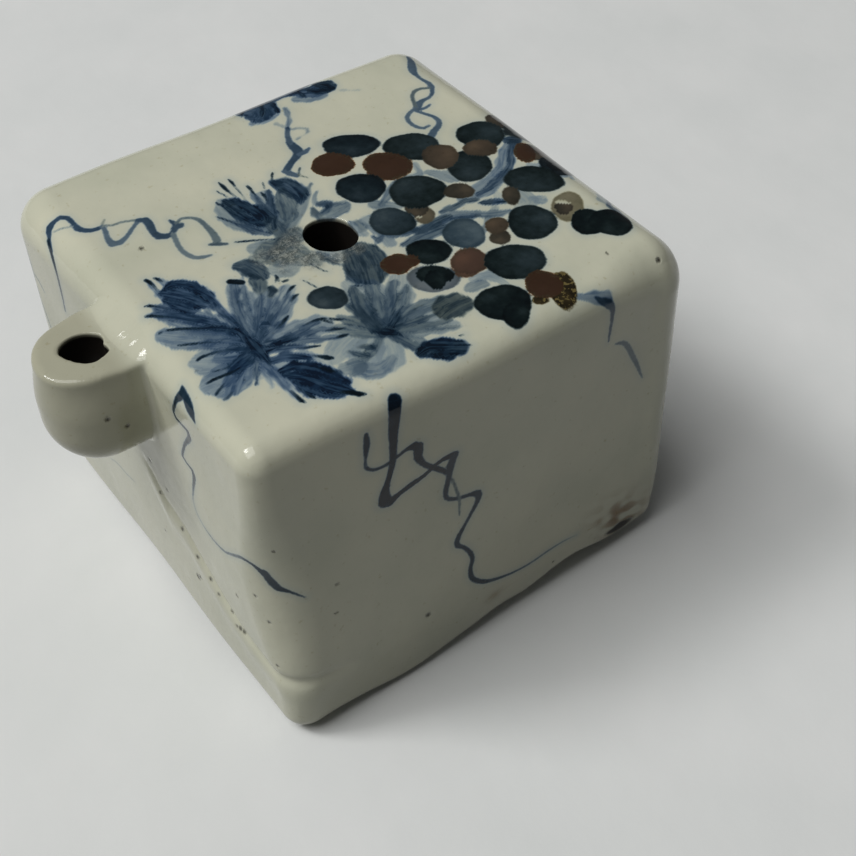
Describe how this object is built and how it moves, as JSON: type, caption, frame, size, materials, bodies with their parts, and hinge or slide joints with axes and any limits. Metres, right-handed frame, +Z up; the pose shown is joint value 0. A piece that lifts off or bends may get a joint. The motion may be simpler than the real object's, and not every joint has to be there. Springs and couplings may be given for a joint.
{
  "type": "calligraphy water dropper",
  "caption": "Slab-built porcelain box that drips water for grinding ink: air hole in the top, stub spout with an upright mouth, grapevine painted under a clear glaze.",
  "frame": {"origin": "middle of the flat face that the box rests on", "axes": "+Z up, -X the way the spout points, -Y the leaning front wall"},
  "size_m": [0.0772, 0.0656, 0.051],
  "materials": {
    "glazed_porcelain": "clear glossy glaze with a greenish grey tint over blue and copper-brown underglaze painting",
    "bare_porcelain": "unglazed fired clay, slightly gritty"
  },
  "bodies": {
    "root": {"top_slab": "glazed_porcelain", "base_slab": "bare_porcelain", "front_wall": "glazed_porcelain", "back_wall": "glazed_porcelain", "left_wall": "glazed_porcelain", "right_wall": "glazed_porcelain", "spout": "glazed_porcelain", "spout_root_roll": "glazed_porcelain", "corner_seam_rolls": "bare_porcelain", "top_seam_roll": "bare_porcelain"}
  },
  "joints": []
}
